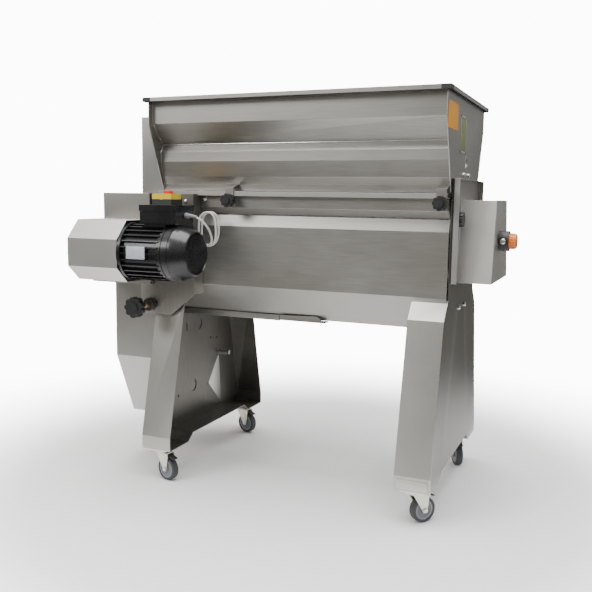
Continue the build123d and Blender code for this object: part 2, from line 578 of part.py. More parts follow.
COVER_BACK = -296.0
cover_path = [(COVER_BACK, COVER_HIGH), (-435, COVER_HIGH), (COVER_FRONT, 837), (COVER_FRONT, 745),
              (-435, COVER_LOW), (COVER_BACK, COVER_LOW)]
with BuildPart() as motor_belt_cover:
    with BuildSketch(side(GUARD_X)):
        Polygon(*cover_path)
    extrude(amount=COVER_RIGHT - GUARD_X)
    with BuildSketch(side(GUARD_X + GUARD_SHEET)):
        Polygon(*folded(cover_path, GUARD_SHEET)[len(cover_path):])
    extrude(amount=COVER_RIGHT - GUARD_X - 2 * GUARD_SHEET, mode=Mode.SUBTRACT)
    rod_x((COVER_RIGHT - 3, COVER_RIGHT + 1), MOTOR_Y, MOTOR_Z, 22, Mode.SUBTRACT)
    block((-645, -508), (-425, COVER_BACK), (COVER_LOW - 5, COVER_LOW))
motor_belt_cover.part.label = "motor_belt_cover"
export_step(motor_belt_cover.part, "parts/motor_belt_cover.step")

# ---------------------------------------------------------------- motor and its bracket
BRACKET_Y, BRACKET_T = -275.0, 3.0
with BuildPart() as motor_bracket:
    with BuildSketch(front(BRACKET_Y + BRACKET_T)):
        Polygon((-557, 570), (-436, 570), (-345, 645), (-345, 985), (-500, 985), (-500, 672), (-557, 672))
    extrude(amount=BRACKET_T)
    block((-348, -345), (BRACKET_Y, -247), (645, 985))
    block((-348, -345), (-247, -224), (645, 978))
    block((-348, -345), (-224, -209), (645, 876))
motor_bracket.part.label = "motor_bracket"
export_step(motor_bracket.part, "parts/motor_bracket.step")

with BuildPart() as motor_body:
    rod_x((MOTOR_LEFT, FAN_COVER_LEFT), MOTOR_Y, MOTOR_Z, MOTOR_R - 10)
    rod_x((MOTOR_LEFT, MOTOR_LEFT + 12), MOTOR_Y, MOTOR_Z, MOTOR_R + 3)
    rod_x((FAN_COVER_LEFT - 10, FAN_COVER_LEFT), MOTOR_Y, MOTOR_Z, MOTOR_R - 4)
    for i in range(28):
        with Locations(Location((MID_X + (MOTOR_LEFT + FAN_COVER_LEFT) / 2, AXIS_Y + MOTOR_Y, MOTOR_Z),
                                (360 / 28 * i, 0, 0))):
            with Locations((0, 0, MOTOR_R - 7)):
                Box(FAN_COVER_LEFT - MOTOR_LEFT - 10, 3.5, 14)
    block((-450, -370), (BRACKET_Y - 42, BRACKET_Y), (755, 835))
    block((-435, -355), (-430, -370), (860, 890))
    rod_x((MOTOR_LEFT + 12, FAN_COVER_LEFT - 12), MOTOR_Y, MOTOR_Z, 62, Mode.SUBTRACT)
    rod_x((MOTOR_LEFT - 1, FAN_COVER_LEFT + 1), MOTOR_Y, MOTOR_Z, 12 + FIT, Mode.SUBTRACT)
motor_body.part.label = "motor_body"
export_step(motor_body.part, "parts/motor_body.step")

with BuildPart() as motor_fan_cover:
    rod_x((FAN_COVER_LEFT, FAN_COVER_RIGHT), MOTOR_Y, MOTOR_Z, FAN_COVER_R)
    fillet(motor_fan_cover.edges().filter_by(GeomType.CIRCLE).sort_by(Axis.X)[-1], 16)
    rod_x((FAN_COVER_LEFT - 1, FAN_COVER_RIGHT - 17), MOTOR_Y, MOTOR_Z, FAN_COVER_R - 3, Mode.SUBTRACT)
    rod_x((FAN_COVER_RIGHT - 18, FAN_COVER_RIGHT - 4), MOTOR_Y, MOTOR_Z, FAN_COVER_R - 15, Mode.SUBTRACT)
    with BuildSketch(side(FAN_COVER_RIGHT - 6)):
        with Locations((MOTOR_Y, MOTOR_Z)):
            for ring_r, count in ((30, 10), (50, 16), (66, 22)):
                with PolarLocations(ring_r, count):
                    Circle(5.5)
    extrude(amount=10, mode=Mode.SUBTRACT)
motor_fan_cover.part.label = "motor_fan_cover"
export_step(motor_fan_cover.part, "parts/motor_fan_cover.step")

with BuildPart() as motor_rotor:
    rod_x((SLOT_MOTOR - 10, FAN_COVER_RIGHT - 20), MOTOR_Y, MOTOR_Z, 12)
    rod_x((-475, -368), MOTOR_Y, MOTOR_Z, 58)
    pulley(SLOT_MOTOR, MOTOR_Y, MOTOR_Z, MOTOR_PULLEY_R)
    rod_x((-300, -292), MOTOR_Y, MOTOR_Z, 70)
    for i in range(6):
        with Locations(Location((MID_X - 308, AXIS_Y + MOTOR_Y, MOTOR_Z), (60 * i, 0, 0))):
            with Locations((0, 0, 46)):
                Box(18, 3, 44)
motor_rotor.part.label = "motor_rotor"
export_step(motor_rotor.part, "parts/motor_rotor.step")

BOX_X, BOX_Y, BOX_Z = (-445.0, -312.0), (-440.0, -330.0), (890.0, 948.0)
LID_Z = 928.0
LID_X, LID_Y = (BOX_X[0] - 2, BOX_X[1] + 2), (BOX_Y[0] - 2, BOX_Y[1] + 2)
with BuildPart() as terminal_box:
    block(BOX_X, BOX_Y, (BOX_Z[0], LID_Z))
    block((BOX_X[0] + 3, BOX_X[1] - 3), (BOX_Y[0] + 3, BOX_Y[1] - 3), (BOX_Z[0] + 3, LID_Z), Mode.SUBTRACT)
    block(LID_X, LID_Y, (LID_Z + 0.4, BOX_Z[1]))
terminal_box.part.label = "terminal_box"
export_step(terminal_box.part, "parts/terminal_box.step")

SWITCH_X, SWITCH_Y = (-421.0, -349.0), (-405.0, -345.0)
SWITCH_TOP = 966.0
FLAP_TOP = 984.0
STOP_X, STOP_Y = -378.0, -375.0
HINGE_Y, HINGE_Z = -341.0, 972.0
with BuildPart() as switch_body:
    block(SWITCH_X, SWITCH_Y, (BOX_Z[1], SWITCH_TOP))
    rod_z(STOP_X, STOP_Y, (BOX_Z[1] + 4, SWITCH_TOP + 1), 9, Mode.SUBTRACT)
    for x in ((SWITCH_X[0], SWITCH_X[0] + 8), (SWITCH_X[1] - 8, SWITCH_X[1])):
        block(x, (HINGE_Y - 3, HINGE_Y + 3), (BOX_Z[1], HINGE_Z))
        rod_x(x, HINGE_Y, HINGE_Z, 3)
        rod_x((x[0] - 1, x[1] + 1), HINGE_Y, HINGE_Z, 1.5 + FIT, Mode.SUBTRACT)
switch_body.part.label = "switch_body"
export_step(switch_body.part, "parts/switch_body.step")

with BuildPart() as switch_flap:
    block(SWITCH_X, SWITCH_Y, (SWITCH_TOP + 0.5, FLAP_TOP))
    block((SWITCH_X[0] + 3, SWITCH_X[1] - 3), (SWITCH_Y[0] + 3, SWITCH_Y[1] - 3),
          (SWITCH_TOP, FLAP_TOP - 3), Mode.SUBTRACT)
    rod_z(STOP_X, STOP_Y, (SWITCH_TOP - 1, FLAP_TOP + 1), 16, Mode.SUBTRACT)
    block((SWITCH_X[0] + 10, SWITCH_X[1] - 10), (SWITCH_Y[1], HINGE_Y), (HINGE_Z - 3, HINGE_Z + 3))
    rod_x((SWITCH_X[0] + 10, SWITCH_X[1] - 10), HINGE_Y, HINGE_Z, 3)
    rod_x((SWITCH_X[0], SWITCH_X[1]), HINGE_Y, HINGE_Z, 1.5)
switch_flap.part.label = "switch_flap"
export_step(switch_flap.part, "parts/switch_flap.step")

with BuildPart() as stop_button:
    rod_z(STOP_X, STOP_Y, (FLAP_TOP - 8, FLAP_TOP + 10), 15.4)
    fillet(stop_button.edges().filter_by(GeomType.CIRCLE).sort_by(Axis.Z)[-1], 3)
    rod_z(STOP_X, STOP_Y, (SWITCH_TOP + 2, FLAP_TOP - 8), 8)
stop_button.part.label = "stop_button"
export_step(stop_button.part, "parts/stop_button.step")

# Belt tension: a lobed knob on a brass sleeve that screws into a boss on the bracket.
TENSION_X, TENSION_Z = -512.0, 604.0
with BuildPart() as tension_boss:
    rod_y(TENSION_X, (-300, BRACKET_Y), TENSION_Z, 22)
    rod_y(TENSION_X, (-301, BRACKET_Y + 1), TENSION_Z, 10 + FIT, Mode.SUBTRACT)
tension_boss.part.label = "tension_boss"
export_step(tension_boss.part, "parts/tension_boss.step")

with BuildPart() as brass_spindle:
    rod_y(TENSION_X, (-358, BRACKET_Y - 0.5), TENSION_Z, 10)
brass_spindle.part.label = "brass_spindle"
export_step(brass_spindle.part, "parts/brass_spindle.step")

with BuildPart() as tension_knob:
    knob(TENSION_X, -364, TENSION_Z, 35, 24)
    rod_y(TENSION_X, (-364, -358), TENSION_Z, 17)
    rod_y(TENSION_X, (-392, -386), TENSION_Z, 18)
tension_knob.part.label = "tension_knob"
export_step(tension_knob.part, "parts/tension_knob.step")

# ---------------------------------------------------------------- cable
GLAND_Y, GLAND_Z, GLAND_X = -378.0, 915.0, -292.0
INLET_X, INLET_Y, INLET_Z = -337.0, -243.0, 822.0
with BuildPart() as cable_glands:
    rod_x((BOX_X[1], GLAND_X - 8), GLAND_Y, GLAND_Z, 9)
    rod_x((GLAND_X - 8, GLAND_X), GLAND_Y, GLAND_Z, 6)
    rod_x((-345, INLET_X), INLET_Y, INLET_Z, 8)
cable_glands.part.label = "cable_glands"
export_step(cable_glands.part, "parts/cable_glands.step")

# The lead droops from its gland, hangs in two flat turns and ends in the bracket's gland.
HANK_X, HANK_Z, HANK_STRAIGHT, HANK_R = -285.0, 870.0, 28.0, 27.0
corner_rise = HANK_R * math.tan(math.radians(30))
corner_peak = HANK_R / math.cos(math.radians(30))
hank_turn = [
    (HANK_R, -HANK_STRAIGHT - corner_rise), (0, -HANK_STRAIGHT - corner_peak),
    (-HANK_R, -HANK_STRAIGHT - corner_rise), (-HANK_R - 3, 0), (-HANK_R, HANK_STRAIGHT + corner_rise),
    (0, HANK_STRAIGHT + corner_peak), (HANK_R, HANK_STRAIGHT + corner_rise), (HANK_R + 3, 0),
]
cable_route = [(GLAND_X, GLAND_Y, GLAND_Z), (-270, -376, 911), (-252, -360, 891), (-246, -334, 863)]
for corner in range(2 * len(hank_turn)):
    across, up = hank_turn[corner % len(hank_turn)]
    cable_route.append((HANK_X + across, -300 + 2.6 * corner, HANK_Z + up))
cable_route += [(-262, -256, 835), (-284, -251, 815), (-312, -246, 814), (INLET_X, INLET_Y, INLET_Z)]


def cable_radii(route):
    """The largest arc that the two runs at each corner leave room for."""
    radii = []
    for a, b, c in zip(route, route[1:], route[2:]):
        arriving, leaving = Vector(*b) - Vector(*a), Vector(*c) - Vector(*b)
        half_turn = math.radians(arriving.get_angle(leaving)) / 2
        radii.append(0.45 * min(arriving.length, leaving.length) / math.tan(half_turn))
    return radii


route_radii = cable_radii(cable_route)
with BuildPart() as power_cable:
    with BuildLine() as cable_path:
        FilletPolyline(*[(MID_X + x, AXIS_Y + y, z) for x, y, z in cable_route], radius=route_radii)
    with BuildSketch(Plane(origin=cable_path.line @ 0, z_dir=cable_path.line % 0)):
        Circle(CABLE_D / 2)
    sweep()
power_cable.part.label = "power_cable"
export_step(power_cable.part, "parts/power_cable.step")
print("cable radii", [round(r) for r in route_radii])
cable_length = sum(edge.length for edge in cable_path.edges())
cable_section = math.pi * CABLE_D ** 2 / 4
print("cable length", round(cable_length),
      "volume share", round(power_cable.part.volume / cable_length / cable_section, 3))

# ---------------------------------------------------------------- fasteners
with BuildPart() as frame_bolts:
    for y, z in ((-38, 1056), (38, 1056)):
        rod_x((HOPPER_END, HOPPER_END + 9), y, z, 6.5)
    for y in (-ROLLER_Y, ROLLER_Y):
        rod_x((FRAME_HALF, FRAME_HALF + 9), y, ROLLER_Z, 8)
    for x, z in ((-470, 960), (-375, 960)):
        rod_y(x, (BRACKET_Y - 5, BRACKET_Y), z, 6)
    rod_y(-330, (-229, -222), 968, 6.5)
frame_bolts.part.label = "frame_bolts"
export_step(frame_bolts.part, "parts/frame_bolts.step")

# ---------------------------------------------------------------- casters
# Each caster swivels about a pin under its plate; the wheel trails behind the pin.
CASTER_X = FRAME_HALF - FLANGE / 2
CASTER_FRONT, CASTER_REAR = -315.0, 290.0
PLATE_T = 4.0
casters = {
    "fl": (-CASTER_X, CASTER_FRONT, -16), "fr": (CASTER_X, CASTER_FRONT, 49),
    "rl": (-CASTER_X, CASTER_REAR, -16), "rr": (CASTER_X, CASTER_REAR, -62),
}
with BuildPart() as caster_plates:
    for x, y, _ in casters.values():
        block((x - 38, x + 38), (y - 38, y + 38), (FOOT_Z - PLATE_T, FOOT_Z))
        rod_z(x, y, (FOOT_Z - PLATE_T - 10, FOOT_Z - PLATE_T), 8)
caster_plates.part.label = "caster_plates"
export_step(caster_plates.part, "parts/caster_plates.step")

FORK_TOP = FOOT_Z - PLATE_T - 1.0
CHEEK_IN, CHEEK_T = WHEEL_W / 2 + 2.0, 2.5
BRAKE_X, BRAKE_Z = 38.0, 90.0
for name, (x, y, heading) in casters.items():
    # Local frame of the caster: X trails from the swivel to the axle, Z is up.
    pivot = Location((MID_X + x, AXIS_Y + y, 0), (0, 0, heading))
    ahead = (math.cos(math.radians(heading)), math.sin(math.radians(heading)), 0)
    standing = Plane(origin=pivot.position, x_dir=ahead, z_dir=(ahead[1], -ahead[0], 0))
    with BuildPart() as caster_fork:
        with Locations(pivot):
            with Locations((0, 0, FORK_TOP - 4.5)):
                Cylinder(24, 9)
            with Locations((8, 0, FORK_TOP - 10.25)):
                Box(46, 2 * (CHEEK_IN + CHEEK_T), 2.5)
            with Locations((0, 0, FORK_TOP - 5)):
                Cylinder(8 + FIT, 14, mode=Mode.SUBTRACT)
        for cheek in (-CHEEK_IN - CHEEK_T, CHEEK_IN):
            with BuildSketch(standing.offset(cheek)):
                Polygon((-15, FORK_TOP - 9), (31, FORK_TOP - 9), (44, FORK_TOP - 10), (44, 85),
                        (CASTER_OFFSET + 9, WHEEL_R + 2), (CASTER_OFFSET + 5, WHEEL_R - 8),
                        (CASTER_OFFSET - 5, WHEEL_R - 8), (CASTER_OFFSET - 10, WHEEL_R))
            extrude(amount=CHEEK_T)
        with Locations(pivot):
            with Locations(Location((CASTER_OFFSET, 0, WHEEL_R), (90, 0, 0))):
                Cylinder(5, 2 * (CHEEK_IN + CHEEK_T) + 6)
            with Locations(Location((BRAKE_X, 0, BRAKE_Z), (90, 0, 0))):
                Cylinder(2.5, 2 * (CHEEK_IN + CHEEK_T))
    caster_fork.part.label = f"caster_fork_{name}"
    export_step(caster_fork.part, f"parts/caster_fork_{name}.step")

    with BuildPart() as caster_hub:
        with Locations(pivot):
            with Locations(Location((CASTER_OFFSET, 0, WHEEL_R), (90, 0, 0))):
                Cylinder(WHEEL_R - 8, WHEEL_W - 2)
                Cylinder(13, WHEEL_W + 3)
                Cylinder(5 + FIT, WHEEL_W + 6, mode=Mode.SUBTRACT)
    caster_hub.part.label = f"caster_hub_{name}"
    export_step(caster_hub.part, f"parts/caster_hub_{name}.step")

    with BuildPart() as caster_tyre:
        with Locations(pivot):
            with Locations(Location((CASTER_OFFSET, 0, WHEEL_R), (90, 0, 0))):
                Cylinder(WHEEL_R, WHEEL_W)
                Cylinder(WHEEL_R - 8, WHEEL_W + 2, mode=Mode.SUBTRACT)
        fillet(caster_tyre.edges().filter_by(GeomType.CIRCLE).filter_by(
            lambda edge: edge.radius > WHEEL_R - 1), 3)
    caster_tyre.part.label = f"caster_tyre_{name}"
    export_step(caster_tyre.part, f"parts/caster_tyre_{name}.step")

    # The brake pedal is hinged across the fork behind the wheel, above the tread.
    with BuildPart() as caster_brake:
        with BuildSketch(standing.offset(-11)):
            Polygon((36, 87), (44, 84), (66, 78), (67, 81.5), (46, 89), (40, 93))
            with Locations((BRAKE_X, BRAKE_Z)):
                Circle(4.2)
                Circle(2.5 + FIT, mode=Mode.SUBTRACT)
        extrude(amount=22)
    caster_brake.part.label = f"caster_brake_{name}"
    export_step(caster_brake.part, f"parts/caster_brake_{name}.step")
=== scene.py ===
import math

import bmesh
import bpy
from mathutils import Matrix, Vector


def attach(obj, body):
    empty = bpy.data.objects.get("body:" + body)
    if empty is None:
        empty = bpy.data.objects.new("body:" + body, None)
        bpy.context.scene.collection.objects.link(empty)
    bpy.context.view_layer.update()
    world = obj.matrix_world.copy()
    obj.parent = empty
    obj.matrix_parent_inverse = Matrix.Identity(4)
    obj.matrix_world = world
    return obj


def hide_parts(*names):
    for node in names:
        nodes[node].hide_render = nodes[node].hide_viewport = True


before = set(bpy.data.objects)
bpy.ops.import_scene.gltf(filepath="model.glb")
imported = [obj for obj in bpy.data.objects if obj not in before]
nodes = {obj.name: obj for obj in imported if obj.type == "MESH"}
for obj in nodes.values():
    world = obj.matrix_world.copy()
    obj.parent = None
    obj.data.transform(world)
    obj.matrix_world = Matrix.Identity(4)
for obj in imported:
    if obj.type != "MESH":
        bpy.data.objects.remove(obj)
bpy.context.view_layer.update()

# The model's origin is on the floor, within 3 mm of the middle of its box.  Places below are
# in machine millimetres: x 0 midway between the end frames, y 0 the plane of the drum.
MID_X, AXIS_Y = 9.0, 67.5
OUTWARDS, FORWARDS, UPWARDS = Vector((1, 0, 0)), Vector((0, -1, 0)), Vector((0, 0, 1))


def at(x, y, z):
    """A machine place in millimetres as a model place in metres."""
    return Vector(((MID_X + x) / 1000, (AXIS_Y + y) / 1000, z / 1000))


# ---------------------------------------------------------------- camera
YAW, PITCH, ROLL = math.radians(23.16), math.radians(7.31), math.radians(0.77)
CAMERA_PLACE = Vector((0.9878, -2.4191, 0.9738))
LENS, SENSOR, SIGHT = 46.15, 36.0, 200.0
camera = bpy.data.objects.new("camera", bpy.data.cameras.new("camera"))
bpy.context.scene.collection.objects.link(camera)
ahead = Vector((-math.sin(YAW) * math.cos(PITCH), math.cos(YAW) * math.cos(PITCH), -math.sin(PITCH)))
right = Vector((math.cos(YAW), math.sin(YAW), 0))
above = right.cross(ahead)
right, above = (right * math.cos(ROLL) + above * math.sin(ROLL),
                above * math.cos(ROLL) - right * math.sin(ROLL))
turned = Matrix((right, above, -ahead)).transposed().to_4x4()
turned.translation = CAMERA_PLACE
camera.matrix_world = turned
camera.data.lens, camera.data.sensor_width = LENS, SENSOR
camera.data.clip_end = SIGHT
bpy.context.scene.camera = camera


# ---------------------------------------------------------------- materials
COAT_ROUGHNESS = 0.12
GRAIN_SHARE = 0.45            # of the mottling that is grain, the rest being patches
TINT_FROM, TINT_TO = 0.36, 0.64
SHEEN_FROM, SHEEN_TO = 0.3, 0.7
# Pointiness range of the lightened edges, which are part wear and part painted highlight.
WEAR_AND_HIGHLIGHT_FROM, WEAR_AND_HIGHLIGHT_TO = 0.53, 0.62
RELIEF_DEPTH = 0.0004


def surface(name, low, high, patch=6.0, grain=400.0, along=(1, 1, 1), metallic=0.0,
            rough=(0.35, 0.5), bump=0.08, coat=0.0, edge=None):
    """A mottled colour with a grain that sets the roughness and the bump, and edges lightened partly as wear
    and partly as a painted highlight.
    """
    made = bpy.data.materials.new(name)
    made.use_nodes = True
    tree = made.node_tree
    shader = tree.nodes["Principled BSDF"]
    shader.inputs["Metallic"].default_value = metallic
    shader.inputs["Coat Weight"].default_value = coat
    shader.inputs["Coat Roughness"].default_value = COAT_ROUGHNESS
    place = tree.nodes.new("ShaderNodeTexCoord")
    stretch = tree.nodes.new("ShaderNodeMapping")
    stretch.inputs["Scale"].default_value = along
    tree.links.new(place.outputs["Object"], stretch.inputs["Vector"])
    patches = tree.nodes.new("ShaderNodeTexNoise")
    patches.inputs["Scale"].default_value = patch
    patches.inputs["Detail"].default_value = 5.0
    tree.links.new(place.outputs["Object"], patches.inputs["Vector"])
    fine = tree.nodes.new("ShaderNodeTexNoise")
    fine.inputs["Scale"].default_value = grain
    fine.inputs["Detail"].default_value = 3.0
    tree.links.new(stretch.outputs["Vector"], fine.inputs["Vector"])
    both = tree.nodes.new("ShaderNodeMix")
    both.inputs["Factor"].default_value = GRAIN_SHARE
    tree.links.new(patches.outputs["Fac"], both.inputs["A"])
    tree.links.new(fine.outputs["Fac"], both.inputs["B"])
    tint = tree.nodes.new("ShaderNodeValToRGB")
    tint.color_ramp.elements[0].position, tint.color_ramp.elements[1].position = TINT_FROM, TINT_TO
    tint.color_ramp.elements[0].color = (*low, 1)
    tint.color_ramp.elements[1].color = (*high, 1)
    tree.links.new(both.outputs["Result"], tint.inputs["Fac"])
    colour = tint.outputs["Color"]
    # Pointiness picks out the convex edges and lightens them to the edge colour: part wear, part a painted
    # highlight along the edges.
    if edge:
        geometry = tree.nodes.new("ShaderNodeNewGeometry")
        wear_and_highlight_mask = tree.nodes.new("ShaderNodeMapRange")
        wear_and_highlight_mask.inputs["From Min"].default_value = WEAR_AND_HIGHLIGHT_FROM
        wear_and_highlight_mask.inputs["From Max"].default_value = WEAR_AND_HIGHLIGHT_TO
        tree.links.new(geometry.outputs["Pointiness"], wear_and_highlight_mask.inputs["Value"])
        wear_and_highlight_mix = tree.nodes.new("ShaderNodeMix")
        wear_and_highlight_mix.data_type = "RGBA"
        wear_and_highlight_mix.inputs["B"].default_value = (*edge, 1)
        tree.links.new(wear_and_highlight_mask.outputs["Result"], wear_and_highlight_mix.inputs["Factor"])
        tree.links.new(colour, wear_and_highlight_mix.inputs["A"])
        colour = wear_and_highlight_mix.outputs["Result"]
    tree.links.new(colour, shader.inputs["Base Color"])
    sheen = tree.nodes.new("ShaderNodeMapRange")
    sheen.inputs["From Min"].default_value = SHEEN_FROM
    sheen.inputs["From Max"].default_value = SHEEN_TO
    sheen.inputs["To Min"].default_value, sheen.inputs["To Max"].default_value = rough
    tree.links.new(both.outputs["Result"], sheen.inputs["Value"])
    tree.links.new(sheen.outputs["Result"], shader.inputs["Roughness"])
    relief = tree.nodes.new("ShaderNodeBump")
    relief.inputs["Strength"].default_value = bump
    relief.inputs["Distance"].default_value = RELIEF_DEPTH
    tree.links.new(fine.outputs["Fac"], relief.inputs["Height"])
    tree.links.new(relief.outputs["Normal"], shader.inputs["Normal"])
    return made


ALONG_X, ALONG_Y, ALONG_Z = (0.02, 1, 1), (1, 0.02, 1), (1, 1, 0.02)
# Edge colour for the brushed and turned steels: wear, and a painted highlight along the edges.
BRIGHT_EDGE_WEAR_AND_HIGHLIGHT = (0.82, 0.80, 0.76)
SHEET_PATCH, SHEET_GRAIN, SHEET_BUMP = 2.2, 700, 0.10


def brushed(name, low, high, along, rough=(0.34, 0.5)):
    """Sheet steel with its grain drawn out one way."""
    return surface(name, low, high, SHEET_PATCH, SHEET_GRAIN, along, 1.0, rough, SHEET_BUMP,
                   edge=BRIGHT_EDGE_WEAR_AND_HIGHLIGHT)


looks = {
    "sheet_x": brushed("steel_brushed_long", (0.235, 0.225, 0.21), (0.36, 0.35, 0.33), ALONG_X),
    "casing": brushed("steel_brushed_casing", (0.25, 0.24, 0.22), (0.37, 0.36, 0.34), ALONG_X),
    # Painted light: the belt cover and stem hood take a lighter copy of the same stainless.
    "cover": brushed("steel_brushed_cover_painted_light", (0.50, 0.485, 0.46), (0.66, 0.65, 0.63), ALONG_Y),
    "sheet_y": brushed("steel_brushed_cross", (0.29, 0.28, 0.265), (0.42, 0.41, 0.39), ALONG_Y),
    # Painted shade: the end frames, guard back plate and motor bracket take a darker copy of the same
    # stainless.
    "sheet_z_painted_shade": brushed("steel_brushed_upright_painted_shade", (0.155, 0.147, 0.132), (0.26, 0.25, 0.232), ALONG_Z),
    "inside": brushed("steel_worn_inside", (0.24, 0.23, 0.21), (0.36, 0.35, 0.325), ALONG_X, (0.4, 0.6)),
    "turned": surface("steel_turned", (0.38, 0.38, 0.38), (0.55, 0.55, 0.54), 8, 900, ALONG_X, 1.0,
                      (0.22, 0.38), 0.08, edge=BRIGHT_EDGE_WEAR_AND_HIGHLIGHT),
    "bright": surface("steel_bright", (0.66, 0.65, 0.63), (0.80, 0.79, 0.77), 20, 600, (1, 1, 1), 1.0,
                      (0.16, 0.3), 0.04),
    "enamel": surface("black_enamel", (0.003, 0.003, 0.004), (0.008, 0.008, 0.010), 10, 500, (1, 1, 1),
                      0.0, (0.2, 0.34), 0.12, 0.15),
    "black": surface("black_moulded", (0.010, 0.010, 0.011), (0.022, 0.022, 0.023), 12, 1500, (1, 1, 1),
                     0.0, (0.4, 0.58), 0.25, edge=(0.05, 0.05, 0.05)),
    "seal": surface("black_seal", (0.008, 0.008, 0.008), (0.018, 0.018, 0.017), 15, 900, (1, 1, 1), 0.0,
                    (0.65, 0.85), 0.3),
    "belt": surface("belt_rubber", (0.012, 0.012, 0.012), (0.03, 0.03, 0.03), 15, 900, (1, 1, 1), 0.0,
                    (0.6, 0.8), 0.3),
    "roller": surface("roller_rubber", (0.05, 0.045, 0.04), (0.10, 0.09, 0.08), 9, 600, ALONG_X, 0.0,
                      (0.5, 0.7), 0.2),
    "yellow": surface("yellow_moulded", (0.80, 0.56, 0.02), (0.90, 0.68, 0.05), 25, 1400, (1, 1, 1), 0.0,
                      (0.3, 0.42), 0.12),
    "red": surface("red_moulded", (0.50, 0.015, 0.015), (0.66, 0.03, 0.025), 25, 1400, (1, 1, 1), 0.0,
                   (0.28, 0.4), 0.1),
    "orange": surface("orange_moulded", (0.86, 0.16, 0.015), (0.95, 0.25, 0.03), 25, 1400, (1, 1, 1), 0.0,
                      (0.26, 0.38), 0.1, 0.2),
    "gland": surface("grey_moulded", (0.28, 0.28, 0.29), (0.38, 0.38, 0.39), 20, 1200, (1, 1, 1), 0.0,
                     (0.4, 0.55), 0.15),
    "cable": surface("white_sheath", (0.62, 0.61, 0.57), (0.76, 0.75, 0.71), 14, 1100, (1, 1, 1), 0.0,
                     (0.38, 0.5), 0.1),
    "brass": surface("brass_turned", (0.52, 0.34, 0.10), (0.72, 0.52, 0.20), 18, 1200, ALONG_Y, 1.0,
                     (0.2, 0.34), 0.12, edge=(0.85, 0.70, 0.38)),
    "zinc": surface("zinc_passivated", (0.62, 0.59, 0.47), (0.82, 0.80, 0.70), 40, 300, (1, 1, 1), 1.0,
                    (0.24, 0.42), 0.08, edge=(0.9, 0.89, 0.84)),
    "tyre": surface("grey_tyre", (0.030, 0.031, 0.034), (0.055, 0.056, 0.060), 20, 700, (1, 1, 1), 0.0,
                    (0.5, 0.68), 0.25),
    "hub": surface("grey_hub", (0.11, 0.12, 0.14), (0.17, 0.18, 0.20), 20, 900, (1, 1, 1), 0.0,
                   (0.4, 0.55), 0.15),
    # Painted highlight: the warm brown that the leg bends catch, as a bright copy of the stainless.
    "warm_highlight": brushed("steel_bent_edge_painted_highlight", (0.42, 0.34, 0.25), (0.62, 0.53, 0.42), ALONG_Z, (0.25, 0.4)),
    "foot": brushed("steel_pressed_foot", (0.27, 0.25, 0.225), (0.38, 0.36, 0.33), ALONG_X),
    "hub_light": surface("hub_ring_moulded", (0.26, 0.27, 0.29), (0.36, 0.37, 0.39), 20, 900, (1, 1, 1), 0.0,
                         (0.35, 0.5), 0.12),
    "plate_label": surface("nameplate_foil", (0.55, 0.62, 0.68), (0.70, 0.76, 0.80), 60, 1200, ALONG_X,
                           0.4, (0.3, 0.42), 0.05),
    "orange_label": surface("orange_foil", (0.80, 0.30, 0.01), (0.92, 0.42, 0.02), 30, 900, (1, 1, 1),
                            0.0, (0.35, 0.5), 0.04),
    "olive_label": surface("olive_foil", (0.13, 0.16, 0.05), (0.24, 0.27, 0.10), 50, 900, (1, 1, 1), 0.0,
                           (0.35, 0.5), 0.04),
}
dressing = {
    "sheet_x": ["hopper_sheets", "hopper_rim", "slide_gate"],
    "casing": ["upper_casing", "lower_casing"],
    "sheet_y": ["transmission_guard", "end_cover", "hopper_end_plates"],
    "cover": ["motor_belt_cover", "stem_hood"],
    "sheet_z_painted_shade": ["left_end_frame", "right_end_frame", "guard_back_plate", "motor_bracket"],
    "inside": ["feed_trough", "destemming_drum", "beater", "feed_screw"],
    "turned": ["bearing_units", "pump_drive_shaft", "motor_rotor"],
    "enamel": ["motor_body", "terminal_box"],
    "black": ["rim_corner_caps", "clamp_knob_left", "clamp_knob_right", "end_cover_knob", "button_housing",
              "tension_boss", "tension_knob", "switch_body"],
    "seal": ["end_seal"], "belt": ["drive_belts"],
    "roller": ["front_crushing_roller", "rear_crushing_roller"],
    "yellow": ["switch_flap"], "red": ["stop_button"], "orange": ["orange_button"],
    "gland": ["cable_glands"], "brass": ["brass_spindle"], "zinc": ["caster_plates"],
}
for corner in ("fl", "fr", "rl", "rr"):
    dressing["zinc"].append(f"caster_fork_{corner}")
    dressing.setdefault("hub", []).append(f"caster_hub_{corner}")
    dressing.setdefault("tyre", []).append(f"caster_tyre_{corner}")
    dressing["black"].append(f"caster_brake_{corner}")
for look, names in dressing.items():
    for name in names:
        nodes[name].data.materials.clear()
        nodes[name].data.materials.append(looks[look])


# Folded sheets and mouldings get a small radius on their corners.
SHEET_RADIUS, MOULDED_RADIUS = 0.0006, 0.0009
WELD_REACH, CORNER_ANGLE = 0.00002, math.radians(32)
moulded = dressing["black"] + dressing["yellow"] + ["terminal_box"]
sheets = sum((dressing[look] for look in ("sheet_y", "sheet_z_painted_shade", "sheet_x", "casing", "cover")), [])
for names, radius in ((moulded, MOULDED_RADIUS), (sheets, SHEET_RADIUS)):
    for name in names:
        weld = nodes[name].modifiers.new("weld", "WELD")
        weld.merge_threshold = WELD_REACH
        rounded = nodes[name].modifiers.new("rounded", "BEVEL")
        rounded.width, rounded.segments, rounded.limit_method = radius, 2, "ANGLE"
        rounded.angle_limit, rounded.harden_normals = CORNER_ANGLE, True


# ---------------------------------------------------------------- mesh helpers
SHARP_ANGLE = math.radians(35)


